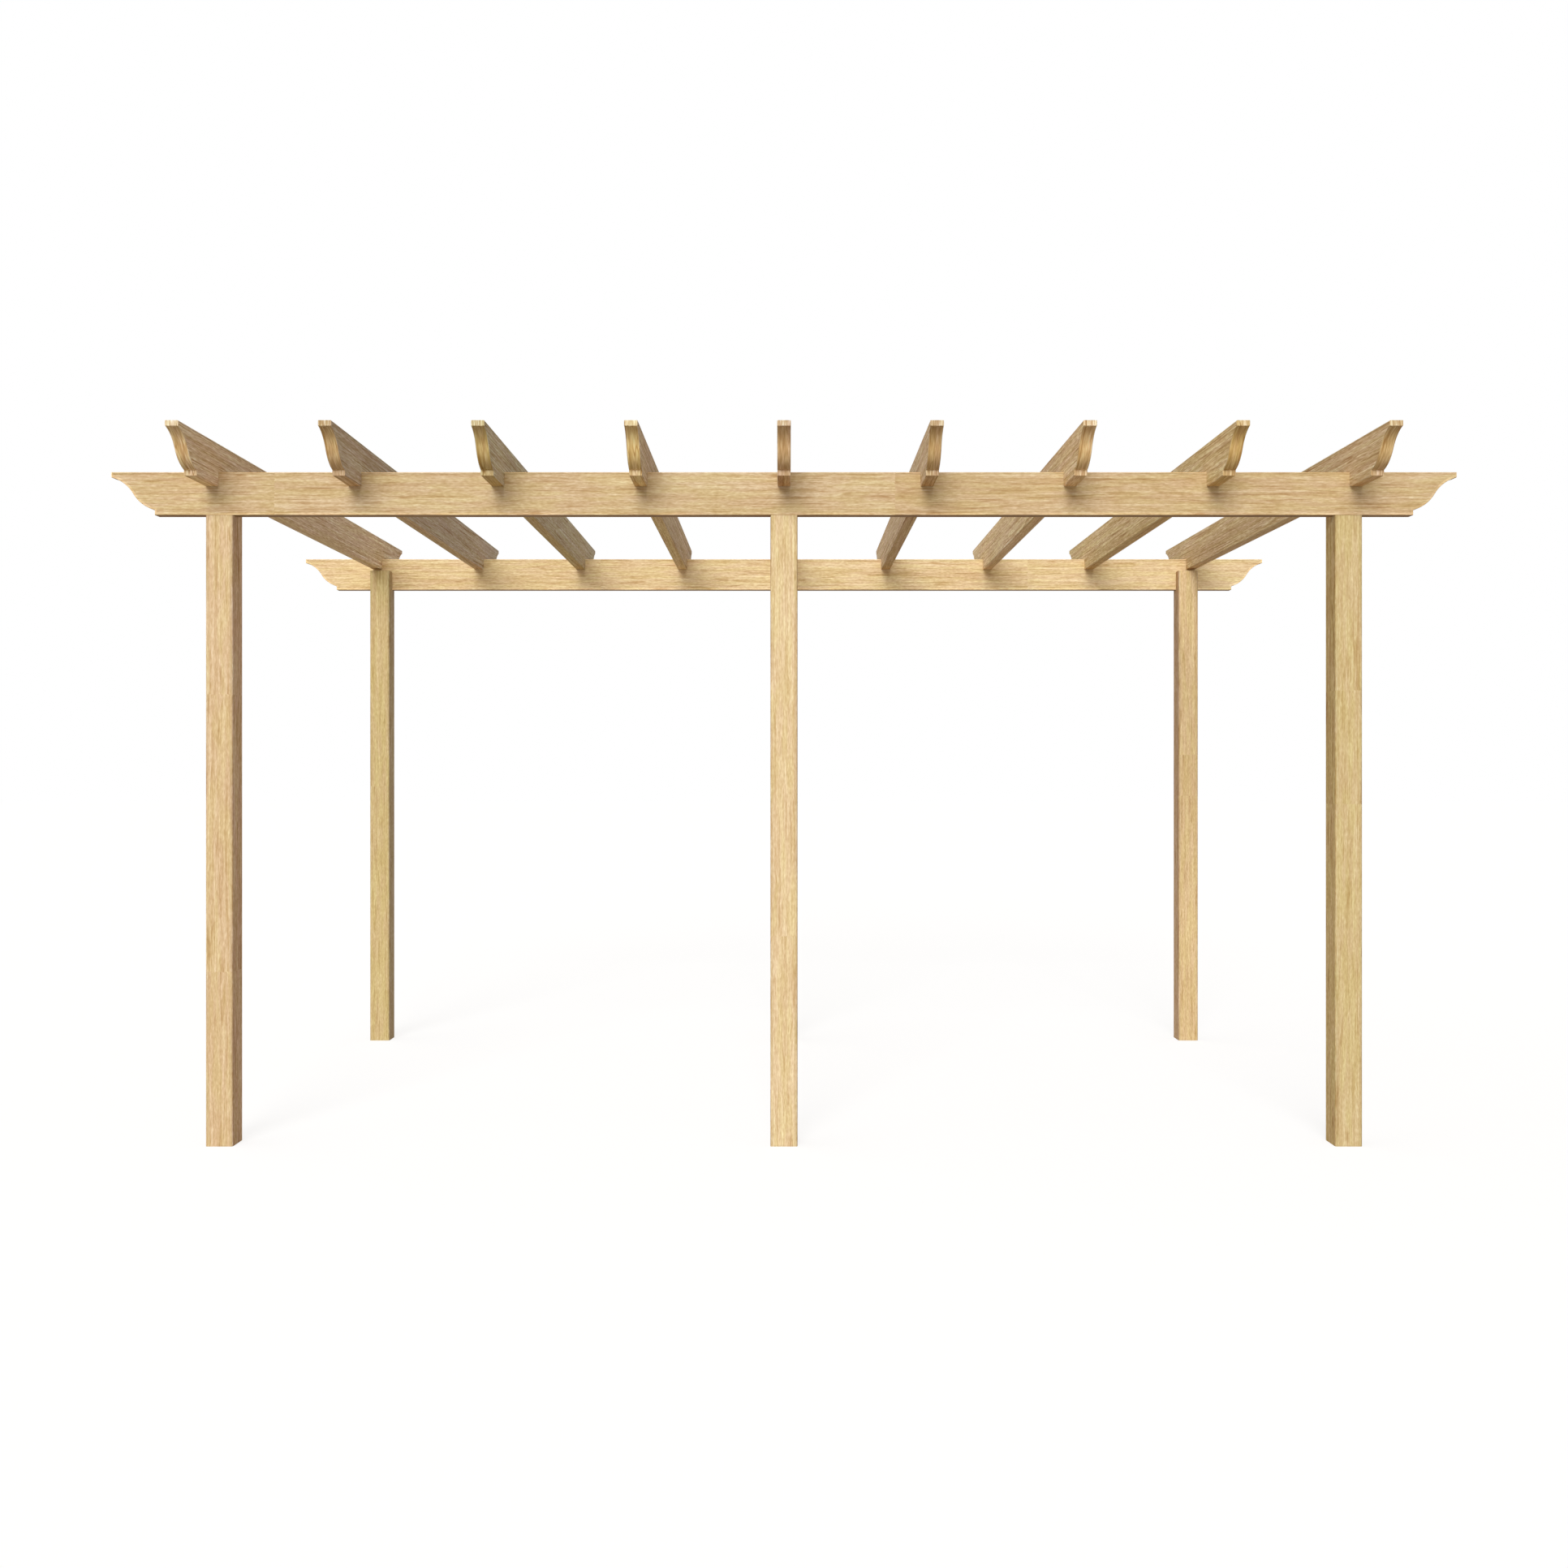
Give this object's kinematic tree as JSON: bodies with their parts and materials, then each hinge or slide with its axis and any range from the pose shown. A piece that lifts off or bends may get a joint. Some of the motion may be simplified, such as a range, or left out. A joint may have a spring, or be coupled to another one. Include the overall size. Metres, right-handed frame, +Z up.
{
  "type": "wooden pergola",
  "caption": "Free-standing open timber pergola: square posts carry two long beams in rebates, and notched cross rafters with ogee ends lie over them.",
  "frame": {"origin": "on the ground at the middle of the plan", "axes": "+X along the beams to the right seen from the front, +Y from the front row of posts to the back row, +Z up"},
  "size_m": [4.705, 2.8, 2.458],
  "materials": {
    "post_timber": "planed softwood",
    "beam_timber": "planed softwood",
    "rafter_timber": "planed softwood"
  },
  "bodies": {
    "root": {"front_left_post": "post_timber", "front_middle_post": "post_timber", "front_right_post": "post_timber", "back_left_post": "post_timber", "back_middle_post": "post_timber", "back_right_post": "post_timber", "front_beam": "beam_timber", "back_beam": "beam_timber", "rafter_1": "rafter_timber", "rafter_2": "rafter_timber", "rafter_3": "rafter_timber", "rafter_4": "rafter_timber", "rafter_5": "rafter_timber", "rafter_6": "rafter_timber", "rafter_7": "rafter_timber", "rafter_8": "rafter_timber", "rafter_9": "rafter_timber"}
  },
  "joints": []
}
